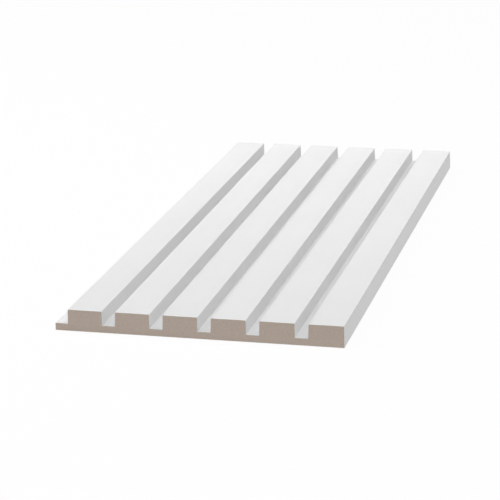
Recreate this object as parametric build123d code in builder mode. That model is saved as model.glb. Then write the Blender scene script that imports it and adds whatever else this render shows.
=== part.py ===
"""Grooved wall panel: one moulded board with flat ribs, open grooves and a lip on one long edge.

The panel lies on its flat back with the ribs up. Its width runs along X, its length along Y
and its thickness along Z, and the origin is at the middle of the back. The lip is on the -X edge
and the flush edge, where the last rib's side runs down to the back, is on the +X edge.
"""

import os
from math import radians, tan

from build123d import *

# Driving dimensions, in millimetres and degrees
panel_length = 600.0
rib_count = 6
rib_width = 29.3  # at the foot of the rib
groove_width = 10.7  # at the foot of the groove
board_thickness = 18.0
web_thickness = 6.0  # board left under each groove, and the lip's own thickness
wall_slope = 1.5  # degrees that each groove wall and the flush edge lean back from upright
arris_radius = 0.3  # outer edges, eased by sanding
root_radius = 0.3  # inside corners, softened by the cutter and the paint

# Sizes that follow
rib_pitch = rib_width + groove_width
panel_width = rib_count * rib_pitch
groove_depth = board_thickness - web_thickness
groove_mouth = groove_width + 2 * groove_depth * tan(radians(wall_slope))
edge_lean = board_thickness * tan(radians(wall_slope))
web_lean = web_thickness * tan(radians(wall_slope))

# Each groove lies on the lip's side of its rib. The first one is open to the edge, so it leaves the
# lip, and the next panel's flush edge closes it into a groove as wide as the others.
groove_shift = (groove_width - rib_pitch) / 2 - web_lean

with BuildPart() as wall_panel:
    with BuildSketch(Plane.XZ) as section:
        Polygon(
            (-panel_width / 2, 0),
            (panel_width / 2, 0),
            (panel_width / 2 - edge_lean, board_thickness),
            (-panel_width / 2, board_thickness),
            align=None,
        )
        with Locations((groove_shift, web_thickness)):
            with GridLocations(rib_pitch, rib_pitch, rib_count, 1):
                Polygon(
                    (-groove_width / 2, 0),
                    (groove_width / 2, 0),
                    (groove_mouth / 2, groove_depth),
                    (-groove_mouth / 2, groove_depth),
                    align=None,
                    mode=Mode.SUBTRACT,
                )

        root_corners = section.vertices().group_by(Axis.Y)[1].sort_by(Axis.X)[1:]
        fillet(root_corners, root_radius)

        back_corners = section.vertices().group_by(Axis.Y)[0]
        rib_corners = section.vertices().group_by(Axis.Y)[-1]
        lip_corner = section.vertices().group_by(Axis.X)[0].sort_by(Axis.Y)[-1]
        fillet([*back_corners, lip_corner, *rib_corners], arris_radius)
    extrude(amount=panel_length / 2, both=True)

wall_panel.part.label = "wall_panel"

os.makedirs("parts", exist_ok=True)
export_step(wall_panel.part, "parts/wall_panel.step")
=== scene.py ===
"""A grooved white wall panel, lying on its back on a pale studio floor.

The panel is one moulded fibreboard. It was sprayed white on its face and its long edges and sawn to
length afterwards, so the flat back and both ends show bare board, and a thin line of paint borders
each end. Lengths are in metres and the frame is the panel's own: X runs across the ribs, Y along them
and Z out of the ribbed face.
"""

import math

import bmesh
import bpy
from mathutils import Matrix, Quaternion, Vector


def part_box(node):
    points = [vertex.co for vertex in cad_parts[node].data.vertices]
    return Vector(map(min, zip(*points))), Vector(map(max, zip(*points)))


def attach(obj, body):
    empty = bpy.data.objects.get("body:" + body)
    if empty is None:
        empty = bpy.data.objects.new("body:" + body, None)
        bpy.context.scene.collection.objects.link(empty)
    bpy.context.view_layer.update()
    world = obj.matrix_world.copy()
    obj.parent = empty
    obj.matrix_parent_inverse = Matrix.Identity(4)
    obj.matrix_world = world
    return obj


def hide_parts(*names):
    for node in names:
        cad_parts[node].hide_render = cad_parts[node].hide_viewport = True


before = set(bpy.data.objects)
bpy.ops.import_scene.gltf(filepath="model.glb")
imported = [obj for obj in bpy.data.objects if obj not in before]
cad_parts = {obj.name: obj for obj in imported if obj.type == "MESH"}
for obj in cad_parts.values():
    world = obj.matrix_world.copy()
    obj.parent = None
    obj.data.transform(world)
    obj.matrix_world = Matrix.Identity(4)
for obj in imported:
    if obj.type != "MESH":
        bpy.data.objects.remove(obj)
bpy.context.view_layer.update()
low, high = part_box("wall_panel")

# The section of the board
RIB_COUNT = 6
RIB_WIDTH = 0.0293  # at the foot of the rib
GROOVE_WIDTH = 0.0107  # at the foot of the groove
WEB_THICKNESS = 0.006  # board left under each groove, and the lip's own thickness
WALL_SLOPE = math.radians(1.5)  # each groove wall and the flush edge lean back by this from upright
ARRIS_RADIUS = 0.0003  # outer edges
ROOT_RADIUS = 0.0003  # inside corners
ARC_STEPS = 6  # flats along each rounded corner

PITCH = RIB_WIDTH + GROOVE_WIDTH
WEB_TOP = low.z + WEB_THICKNESS
RIB_TOP = high.z
MIDDLE_Z = (low.z + high.z) / 2
HALF_THICKNESS = RIB_TOP - MIDDLE_Z

# The surface in depth
FILM = 0.00008  # sprayed paint
SOAK = 0.0006  # how deep primer and resin have darkened the board behind the paint
PRESSED = 0.0022  # denser board under the face and the back

# The mesh
SHARP_ANGLE = math.radians(30)
MERGE_DISTANCE = 1e-7

# The paint, with sizes and heights in metres
PAINT_TONES = (0.825, 0.84)
SATIN_ROUGHNESS = (0.28, 0.36)
CUT_ROUGHNESS = 0.08  # added where the cutter ran
CLOUD_SIZE = 0.07  # slow changes of tone
SHEEN_SIZE = 0.012  # slow changes of gloss
LINE_SIZE, LINE_HEIGHT = 0.0007, 0.000006  # the cutter's lines
PEEL_SIZE, PEEL_HEIGHT = 0.0016, 0.00001  # the peel of the spray
DUST_SIZE, DUST_HEIGHT = 0.0004, 0.000002

# The bare board
FIBRE_SIZE = 0.0006
CLUMP_SIZE, CLUMP_SHARE = 0.0013, 0.6
FIBRE_RANGE = (0.62, 0.98)  # the sum of fibres and clumps, from the dark tone to the light one
FLECK_SIZE, FLECK_SHARE = 0.0008, 0.35
FLECK_RANGE = (0.68, 0.76)  # only the highest values of the noise are flecks
FLECK_COLOUR = (0.16, 0.11, 0.08, 1)
DENSE_COLOUR = (0.2, 0.14, 0.1, 1)
PRESSED_SHARE = 0.03
SOAKED_SHARE = 0.12
ROUGHNESS_SPREAD = 0.05
BOARD_SPECULAR = 0.3

NOISE_RANGE = (0.3, 0.7)  # where most values of a noise lie

# The camera, fitted to the corners of the panel in the photograph
CAMERA_PLACE = Vector((0.42037, -1.90018, 0.55321))
CAMERA_AIM = Vector((-0.01688, -0.04179, 0.0))
CAMERA_ROLL = math.radians(0.658)  # its right side hangs lower
CAMERA_LENS = 155.86  # in millimetres, as is the sensor
SENSOR_WIDTH = 36.0

# The studio
FLOOR_DROP = 0.0001  # keeps the floor clear of the back
FLOOR_HALF = 3.4
FLOOR_GLOW = 0.942
FLOOR_TONE = 0.05  # the share of light that the floor takes and throws back
BOUNCE_GLOW = 0.695
UNDER_LIGHT = 0.55
HORIZON_BLUR = 0.01  # the light from below ends within this much of level
DOME_RADIUS = 20.0
DOME_GLOW = 0.98


# The panel's shape


def section_corners():
    """Each corner as (x, z, radius), clockwise as the near end shows them, from the back's -X edge."""
    web_lean = WEB_THICKNESS * math.tan(WALL_SLOPE)
    wall_lean = (RIB_TOP - WEB_TOP) * math.tan(WALL_SLOPE)
    corners = [(low.x, low.z, ARRIS_RADIUS), (low.x, WEB_TOP, ARRIS_RADIUS)]
    for rib in range(RIB_COUNT):
        left = low.x - web_lean + rib * PITCH + GROOVE_WIDTH
        right = left + RIB_WIDTH
        corners.append((left, WEB_TOP, ROOT_RADIUS))
        corners.append((left + wall_lean, RIB_TOP, ARRIS_RADIUS))
        corners.append((right - wall_lean, RIB_TOP, ARRIS_RADIUS))
        if rib < RIB_COUNT - 1:
            corners.append((right, WEB_TOP, ROOT_RADIUS))
    corners.append((low.x + RIB_COUNT * PITCH, low.z, ARRIS_RADIUS))
    return corners


def outline(depth):
    """Points (x, z) round the section, depth below the painted surface. Paint and soak end on the two
    rounded edges of the back, so there the depth grows from nothing and falls back to it."""
    corners = section_corners()
    points = []
    for i, (x, z, radius) in enumerate(corners):
        corner = Vector((x, z))
        arriving = (corner - Vector(corners[i - 1][:2])).normalized()
        leaving = (Vector(corners[(i + 1) % len(corners)][:2]) - corner).normalized()
        turn = arriving.angle_signed(leaving)  # over 0 at an outer corner, which turns clockwise
        side = math.copysign(1, turn)
        inward = Matrix.Rotation(-side * math.pi / 2, 2) @ arriving
        for step in range(ARC_STEPS + 1):
            turned = step / ARC_STEPS
            share = {0: turned, len(corners) - 1: 1 - turned}.get(i, 1)
            under = depth * share
            bend = max(radius, under * side)
            centre = corner + (inward - arriving * math.tan(abs(turn) / 2)) * bend
            reach = bend - under * side
            points.append(centre - Matrix.Rotation(-turned * turn, 2) @ inward * reach)
    return points


PAINTED, SAWN, BACK = range(3)  # material slots of the panel


def build_panel():
    """The whole board as one closed mesh. Each end is a ring of cut paint, a ring of soaked board and
    the plain core."""
    shape = bmesh.new()
    soak = shape.verts.layers.float.new("soak")
    rims = []
    for y in (low.y, high.y):
        rings = []
        for depth in (0, FILM, SOAK):
            rings.append([shape.verts.new((x, y, z)) for x, z in outline(depth)])
        for vertex in rings[1]:
            vertex[soak] = 1
        rims.append(rings)

    def strip(one, other, slot):
        """Joins two loops of points with faces, apart from the stretch along the back."""
        for i in range(len(one) - 1):
            shape.faces.new((one[i], one[i + 1], other[i + 1], other[i])).material_index = slot

    near, far = rims[0][0], rims[1][0]
    strip(near, far, PAINTED)
    shape.faces.new((near[-1], near[0], far[0], far[-1])).material_index = BACK
    for surface, film, core in rims:
        strip(surface, film, PAINTED)
        strip(film, core, SAWN)
        shape.faces.new(core).material_index = SAWN

    bmesh.ops.remove_doubles(shape, verts=shape.verts, dist=MERGE_DISTANCE)
    bmesh.ops.triangulate(shape, faces=[f for f in shape.faces if len(f.verts) > 4])
    bmesh.ops.recalc_face_normals(shape, faces=shape.faces)
    for face in shape.faces:
        face.smooth = True
    mesh = bpy.data.meshes.new("grooved_panel")
    shape.to_mesh(mesh)
    shape.free()
    mesh.set_sharp_from_angle(angle=SHARP_ANGLE)
    panel = bpy.data.objects.new("grooved_panel", mesh)
    bpy.context.scene.collection.objects.link(panel)
    flats = panel.modifiers.new("flat_faces", "WEIGHTED_NORMAL")
    flats.keep_sharp = True
    return panel


# Materials


def new_material(name):
    material = bpy.data.materials.new(name)
    material.use_nodes = True
    return material, material.node_tree, material.node_tree.nodes["Principled BSDF"]


def add(tree, kind, inputs=None, **settings):
    """Adds a node. Each of its inputs named here takes a plain value or another node's output."""
    node = tree.nodes.new(kind)
    for name, value in settings.items():
        setattr(node, name, value)
    for name, value in (inputs or {}).items():
        if isinstance(value, bpy.types.NodeSocket):
            tree.links.new(value, node.inputs[name])
        else:
            node.inputs[name].default_value = value
    return node


def object_place(tree, stretch=(1, 1, 1)):
    """The point on the board, in metres. A stretch over 1 makes a pattern finer along that axis."""
    place = add(tree, "ShaderNodeTexCoord").outputs["Object"]
    return add(tree, "ShaderNodeMapping", {"Vector": place, "Scale": stretch}).outputs["Vector"]


def height_of(tree, place):
    return add(tree, "ShaderNodeSeparateXYZ", {"Vector": place}).outputs["Z"]


def noise(tree, place, size, detail=2.0):
    """Noise from 0 to 1, with features of about that size."""
    inputs = {"Vector": place, "Scale": 1 / size, "Detail": detail}
    return add(tree, "ShaderNodeTexNoise", inputs).outputs["Fac"]


def ranged(tree, value, old, new):
    """Moves a value from one range to another, and keeps it inside."""
    inputs = {"Value": value, "From Min": old[0], "From Max": old[1], "To Min": new[0], "To Max": new[1]}
    return add(tree, "ShaderNodeMapRange", inputs).outputs["Result"]


def combined(tree, operation, first, second):
    return add(tree, "ShaderNodeMath", {0: first, 1: second}, operation=operation).outputs[0]


def mixed(tree, factor, first, second):
    """A colour between two others."""
    node = add(tree, "ShaderNodeMix", data_type="RGBA")
    for socket, value in (("Factor_Float", factor), ("A_Color", first), ("B_Color", second)):
        slot = next(s for s in node.inputs if s.identifier == socket)
        if isinstance(value, bpy.types.NodeSocket):
            tree.links.new(value, slot)
        else:
            slot.default_value = value
    return next(s for s in node.outputs if s.identifier == "Result_Color")


def grey(level):
    return (level, level, level, 1)


def bumped(tree, height, distance, beneath=None):
    """A normal moved by a height from 0 to 1, on top of the normal that another bump gives."""
    inputs = {"Height": height, "Distance": distance, "Strength": 1.0}
    if beneath:
        inputs["Normal"] = beneath
    return add(tree, "ShaderNodeBump", inputs).outputs["Normal"]


def paint_material():
    """Satin white spray paint: a fine peel all over, and faint lengthwise lines where the cutter ran."""
    material, tree, shader = new_material("satin_white_paint")
    place = object_place(tree)
    machined = ranged(tree, height_of(tree, place), (RIB_TOP - ARRIS_RADIUS, RIB_TOP), (1, 0))

    shade = ranged(tree, noise(tree, place, CLOUD_SIZE), NOISE_RANGE, (0, 1))
    colour = mixed(tree, shade, grey(PAINT_TONES[0]), grey(PAINT_TONES[1]))
    tree.links.new(colour, shader.inputs["Base Color"])

    sheen = ranged(tree, noise(tree, place, SHEEN_SIZE, detail=3), NOISE_RANGE, SATIN_ROUGHNESS)
    rougher = combined(tree, "MULTIPLY", machined, CUT_ROUGHNESS)
    tree.links.new(combined(tree, "ADD", sheen, rougher), shader.inputs["Roughness"])

    drawn_out = (1, 0.01, 1)
    lines = noise(tree, object_place(tree, drawn_out), LINE_SIZE)
    surface = bumped(tree, combined(tree, "MULTIPLY", lines, machined), LINE_HEIGHT)
    surface = bumped(tree, noise(tree, place, PEEL_SIZE, detail=1), PEEL_HEIGHT, surface)
    surface = bumped(tree, noise(tree, place, DUST_SIZE, detail=1), DUST_HEIGHT, surface)
    tree.links.new(surface, shader.inputs["Normal"])
    return material


def fibreboard_material(name, light, dark, stretch, roughness, relief):
    """Bare fibreboard: short fibres in small clumps, sparse dark flecks, and denser, darker board at the
    two pressed faces and behind the paint."""
    material, tree, shader = new_material(name)
    place = object_place(tree)
    along = object_place(tree, stretch)

    fibres = noise(tree, along, FIBRE_SIZE, detail=4)
    clumps = combined(tree, "MULTIPLY", noise(tree, along, CLUMP_SIZE, detail=5), CLUMP_SHARE)
    fibre_tone = ranged(tree, combined(tree, "ADD", fibres, clumps), FIBRE_RANGE, (0, 1))
    colour = mixed(tree, fibre_tone, dark, light)

    fleck = ranged(tree, noise(tree, along, FLECK_SIZE, detail=1), FLECK_RANGE, (0, FLECK_SHARE))
    colour = mixed(tree, fleck, colour, FLECK_COLOUR)

    from_middle = combined(tree, "SUBTRACT", height_of(tree, place), MIDDLE_Z)
    from_middle = combined(tree, "ABSOLUTE", from_middle, 0)
    pressed = ranged(tree, from_middle, (HALF_THICKNESS - PRESSED, HALF_THICKNESS), (0, PRESSED_SHARE))
    soaked = add(tree, "ShaderNodeAttribute", attribute_name="soak").outputs["Fac"]
    darkened = combined(tree, "ADD", pressed, combined(tree, "MULTIPLY", soaked, SOAKED_SHARE))
    colour = mixed(tree, darkened, colour, DENSE_COLOUR)
    tree.links.new(colour, shader.inputs["Base Color"])

    rough = ranged(tree, fibres, NOISE_RANGE, (roughness - ROUGHNESS_SPREAD, roughness + ROUGHNESS_SPREAD))
    tree.links.new(rough, shader.inputs["Roughness"])
    tree.links.new(bumped(tree, fibres, relief), shader.inputs["Normal"])
    shader.inputs["Specular IOR Level"].default_value = BOARD_SPECULAR
    return material


def sawn_material():
    """The cut ends, rough and pale, with fibres that lie flat in the board."""
    light = (0.59, 0.495, 0.425, 1)
    dark = (0.456, 0.376, 0.322, 1)
    flattened = (1, 1, 1.8)
    return fibreboard_material("sawn_fibreboard", light, dark, flattened, roughness=0.85, relief=0.00004)


def sanded_material():
    """The flat back, smoother and a little darker, with fibres that run every way."""
    light = (0.50, 0.41, 0.345, 1)
    dark = (0.43, 0.345, 0.285, 1)
    even = (1, 1, 1)
    return fibreboard_material("sanded_fibreboard", light, dark, even, roughness=0.65, relief=0.00001)


# The studio


def glow_material(name, strength, tone=0.0):
    """An even glow, with a share that takes light and shadow. From behind it is clear."""
    material, tree, shader = new_material(name)
    tree.nodes.remove(shader)
    glow = add(tree, "ShaderNodeEmission", {"Color": grey(1), "Strength": strength})
    matt = add(tree, "ShaderNodeBsdfDiffuse", {"Color": grey(tone)})
    both = add(tree, "ShaderNodeAddShader", {0: glow.outputs[0], 1: matt.outputs[0]})
    clear = add(tree, "ShaderNodeBsdfTransparent")
    behind = add(tree, "ShaderNodeNewGeometry").outputs["Backfacing"]
    sided = add(tree, "ShaderNodeMixShader", {0: behind, 1: both.outputs[0], 2: clear.outputs[0]})
    tree.links.new(sided.outputs[0], tree.nodes["Material Output"].inputs["Surface"])
    return material


def stage_object(name, mesh, material):
    mesh.materials.append(material)
    thing = bpy.data.objects.new(name, mesh)
    bpy.context.scene.collection.objects.link(thing)
    return thing


def only_for_camera(thing):
    thing.visible_diffuse = False
    thing.visible_glossy = False
    thing.visible_transmission = False
    thing.visible_shadow = False


def floor_sheet(name, drop, material):
    mesh = bpy.data.meshes.new(name)
    corners = [(-1, -1), (1, -1), (1, 1), (-1, 1)]
    points = [(x * FLOOR_HALF, y * FLOOR_HALF, low.z - drop) for x, y in corners]
    mesh.from_pydata(points, [], [(0, 1, 2, 3)])
    return stage_object(name, mesh, material)


def build_floor():
    """The pale floor that the camera sees, and right under it a twin that throws light on the panel.
    Both are clear from below, so that the back of the panel shows there."""
    floor = floor_sheet("floor", FLOOR_DROP, glow_material("pale_floor", FLOOR_GLOW, FLOOR_TONE))
    only_for_camera(floor)
    bounce = floor_sheet("floor_bounce", 2 * FLOOR_DROP, glow_material("floor_bounce", BOUNCE_GLOW))
    bounce.visible_camera = False


def build_world():
    """Even light from below, which the floor keeps off everything but the back, and a white dome that
    only the camera sees."""
    world = bpy.data.worlds.new("studio")
    world.use_nodes = True
    tree = world.node_tree
    background = tree.nodes["Background"]
    way = add(tree, "ShaderNodeTexCoord").outputs["Generated"]
    below = ranged(tree, height_of(tree, way), (-HORIZON_BLUR, 0), (UNDER_LIGHT, 0))
    tree.links.new(below, background.inputs["Strength"])
    background.inputs["Color"].default_value = grey(1)
    bpy.context.scene.world = world

    shape = bmesh.new()
    bmesh.ops.create_icosphere(shape, subdivisions=4, radius=DOME_RADIUS)
    bmesh.ops.reverse_faces(shape, faces=shape.faces)
    mesh = bpy.data.meshes.new("dome")
    shape.to_mesh(mesh)
    shape.free()
    only_for_camera(stage_object("dome", mesh, glow_material("white_dome", DOME_GLOW)))


def add_softbox(name, azimuth, elevation, distance, width, height, radiance, mirrored=True):
    """A rectangular lamp aimed at the panel. Azimuth 0 is the near side and 90 the +X side, in degrees,
    and the radiance is the brightness of the lamp's face. The paint shows only a mirrored one."""
    around, up = math.radians(azimuth), math.radians(elevation)
    way = Vector((math.sin(around) * math.cos(up), -math.cos(around) * math.cos(up), math.sin(up)))
    lamp = bpy.data.lights.new(name, "AREA")
    lamp.shape = "RECTANGLE"
    lamp.size, lamp.size_y = width, height
    lamp.energy = radiance * width * height * math.pi
    softbox = bpy.data.objects.new(name, lamp)
    softbox.location = way * distance
    softbox.rotation_mode = "QUATERNION"
    softbox.rotation_quaternion = (-way).to_track_quat("-Z", "Y")
    softbox.visible_camera = False
    softbox.visible_glossy = mirrored
    bpy.context.scene.collection.objects.link(softbox)


def build_light():
    """Each softbox: name, azimuth, elevation, distance, width, height and radiance. The one at the top
    stands a little to the right, so that it lights each groove right into its left corner. The two low,
    bright ones would whiten the tops of the ribs in views towards them, so they aren't mirrored."""
    add_softbox("top", 90, 80, 4.0, 5.0, 1.2, 3.51)
    add_softbox("left_high", 270, 60, 2.4, 2.4, 1.6, 1.54)
    add_softbox("left_low", 270, 25, 2.4, 2.4, 0.9, 3.97, mirrored=False)
    add_softbox("right_high", 90, 68, 2.4, 2.4, 1.2, 0.93)
    add_softbox("right_middle", 90, 35, 2.4, 2.4, 1.6, 0.63)
    add_softbox("right_low", 90, 15, 2.4, 2.4, 0.9, 1.02)
    add_softbox("front", -12, 14, 3.2, 2.4, 0.9, 4.12, mirrored=False)
    add_softbox("back", 180, 9, 3.5, 4.0, 0.7, 2.30)


def build_camera():
    camera = bpy.data.cameras.new("camera")
    camera.lens = CAMERA_LENS
    camera.sensor_width = SENSOR_WIDTH
    view = bpy.data.objects.new("camera", camera)
    view.location = CAMERA_PLACE
    view.rotation_mode = "QUATERNION"
    level = (CAMERA_AIM - CAMERA_PLACE).to_track_quat("-Z", "Y")
    view.rotation_quaternion = level @ Quaternion((0, 0, 1), -CAMERA_ROLL)
    bpy.context.scene.collection.objects.link(view)
    bpy.context.scene.camera = view


panel = build_panel()
for material in (paint_material(), sawn_material(), sanded_material()):
    panel.data.materials.append(material)
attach(panel, "root")
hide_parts("wall_panel")

build_floor()
build_world()
build_light()
build_camera()
bpy.context.scene.view_settings.view_transform = "Standard"
